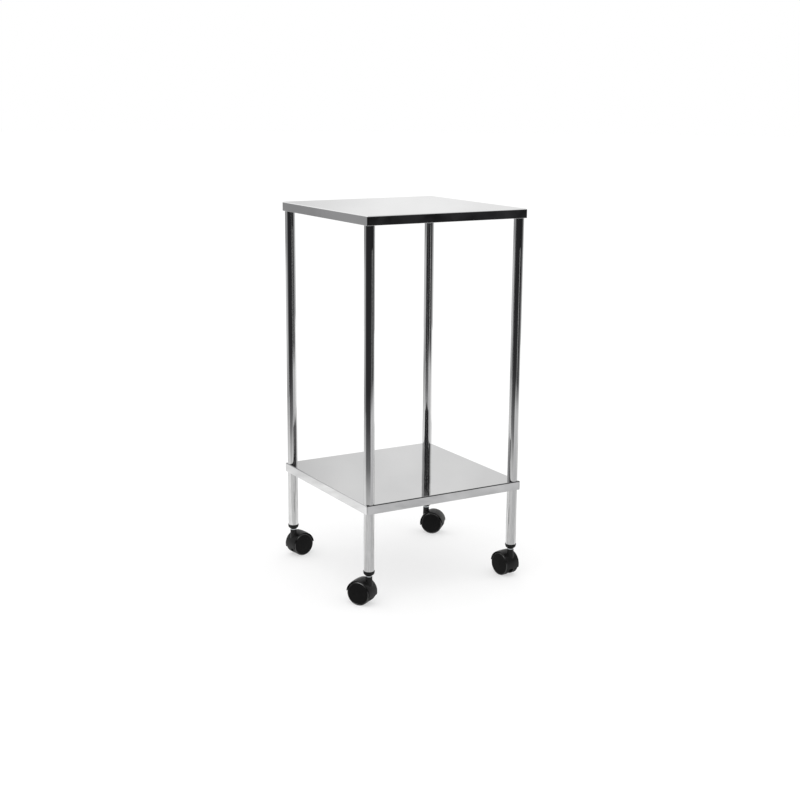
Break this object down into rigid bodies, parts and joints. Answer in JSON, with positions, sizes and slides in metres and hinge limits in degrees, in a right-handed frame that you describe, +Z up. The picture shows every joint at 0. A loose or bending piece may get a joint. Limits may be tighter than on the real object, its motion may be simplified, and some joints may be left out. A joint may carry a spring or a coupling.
{
  "type": "instrument table",
  "caption": "Square two-shelf instrument table of folded polished stainless sheet on round tube legs, with black twin-wheel swivel casters.",
  "frame": {"origin": "on the floor under the middle of the shelves, which is within 5 mm of the middle of the whole object's box with the casters as they stand at rest", "axes": "+Z up; the shelves' edges run along X and Y, the front is -Y and the left is -X"},
  "size_m": [0.4364, 0.3964, 0.805],
  "materials": {
    "shelf_sheet": "mirror polished stainless sheet",
    "stiffener_sheet": "cold rolled stainless sheet",
    "leg_tube": "mirror polished stainless tube",
    "weld": "brushed weld bead",
    "spring_steel": "dark spring steel",
    "plated_steel": "bright zinc plated steel",
    "plug_plastic": "moulded black plastic",
    "hood_plastic": "moulded black nylon, satin",
    "wheel_plastic": "moulded black nylon, satin"
  },
  "bodies": {
    "table": {"top_shelf": "shelf_sheet", "lower_shelf": "shelf_sheet", "top_shelf_stiffener": "stiffener_sheet", "lower_shelf_stiffener": "stiffener_sheet", "top_shelf_welds": "weld", "lower_shelf_welds": "weld", "stem_grip_rings": "spring_steel", "front_left_leg": "leg_tube", "front_left_leg_plug": "plug_plastic", "front_left_caster_stem": "plated_steel", "front_right_leg": "leg_tube", "front_right_leg_plug": "plug_plastic", "front_right_caster_stem": "plated_steel", "back_right_leg": "leg_tube", "back_right_leg_plug": "plug_plastic", "back_right_caster_stem": "plated_steel", "back_left_leg": "leg_tube", "back_left_leg_plug": "plug_plastic", "back_left_caster_stem": "plated_steel"},
    "front_left_caster": {"front_left_caster_hood": "hood_plastic", "front_left_caster_axle": "plated_steel"},
    "front_left_left_wheel": {"front_left_left_wheel": "wheel_plastic"},
    "front_left_right_wheel": {"front_left_right_wheel": "wheel_plastic"},
    "front_right_caster": {"front_right_caster_hood": "hood_plastic", "front_right_caster_axle": "plated_steel"},
    "front_right_left_wheel": {"front_right_left_wheel": "wheel_plastic"},
    "front_right_right_wheel": {"front_right_right_wheel": "wheel_plastic"},
    "back_right_caster": {"back_right_caster_hood": "hood_plastic", "back_right_caster_axle": "plated_steel"},
    "back_right_left_wheel": {"back_right_left_wheel": "wheel_plastic"},
    "back_right_right_wheel": {"back_right_right_wheel": "wheel_plastic"},
    "back_left_caster": {"back_left_caster_hood": "hood_plastic", "back_left_caster_axle": "plated_steel"},
    "back_left_left_wheel": {"back_left_left_wheel": "wheel_plastic"},
    "back_left_right_wheel": {"back_left_right_wheel": "wheel_plastic"}
  },
  "joints": [
    {"name": "front_left_swivel", "type": "hinge", "parent": "table", "child": "front_left_caster", "pos_m": [-0.1777, -0.1777, 0.0613], "axis": [0, 0, 1], "continuous": true},
    {"name": "front_left_left_wheel_spin", "type": "hinge", "parent": "front_left_caster", "child": "front_left_left_wheel", "pos_m": [-0.18671, -0.16328, 0.0255], "axis": [-0.848, -0.5299, 0], "continuous": true},
    {"name": "front_left_right_wheel_spin", "type": "hinge", "parent": "front_left_caster", "child": "front_left_right_wheel", "pos_m": [-0.18671, -0.16328, 0.0255], "axis": [-0.848, -0.5299, 0], "continuous": true},
    {"name": "front_right_swivel", "type": "hinge", "parent": "table", "child": "front_right_caster", "pos_m": [0.1777, -0.1777, 0.0613], "axis": [0, 0, 1], "continuous": true},
    {"name": "front_right_left_wheel_spin", "type": "hinge", "parent": "front_right_caster", "child": "front_right_left_wheel", "pos_m": [0.17533, -0.16087, 0.0255], "axis": [-0.9903, -0.1392, 0], "continuous": true},
    {"name": "front_right_right_wheel_spin", "type": "hinge", "parent": "front_right_caster", "child": "front_right_right_wheel", "pos_m": [0.17533, -0.16087, 0.0255], "axis": [-0.9903, -0.1392, 0], "continuous": true},
    {"name": "back_right_swivel", "type": "hinge", "parent": "table", "child": "back_right_caster", "pos_m": [0.1777, 0.1777, 0.0613], "axis": [0, 0, 1], "continuous": true},
    {"name": "back_right_left_wheel_spin", "type": "hinge", "parent": "back_right_caster", "child": "back_right_left_wheel", "pos_m": [0.18972, 0.16568, 0.0255], "axis": [0.7071, 0.7071, 0], "continuous": true},
    {"name": "back_right_right_wheel_spin", "type": "hinge", "parent": "back_right_caster", "child": "back_right_right_wheel", "pos_m": [0.18972, 0.16568, 0.0255], "axis": [0.7071, 0.7071, 0], "continuous": true},
    {"name": "back_left_swivel", "type": "hinge", "parent": "table", "child": "back_left_caster", "pos_m": [-0.1777, 0.1777, 0.0613], "axis": [0, 0, 1], "continuous": true},
    {"name": "back_left_left_wheel_spin", "type": "hinge", "parent": "back_left_caster", "child": "back_left_left_wheel", "pos_m": [-0.16087, 0.18007, 0.0255], "axis": [-0.1392, 0.9903, 0], "continuous": true},
    {"name": "back_left_right_wheel_spin", "type": "hinge", "parent": "back_left_caster", "child": "back_left_right_wheel", "pos_m": [-0.16087, 0.18007, 0.0255], "axis": [-0.1392, 0.9903, 0], "continuous": true}
  ]
}
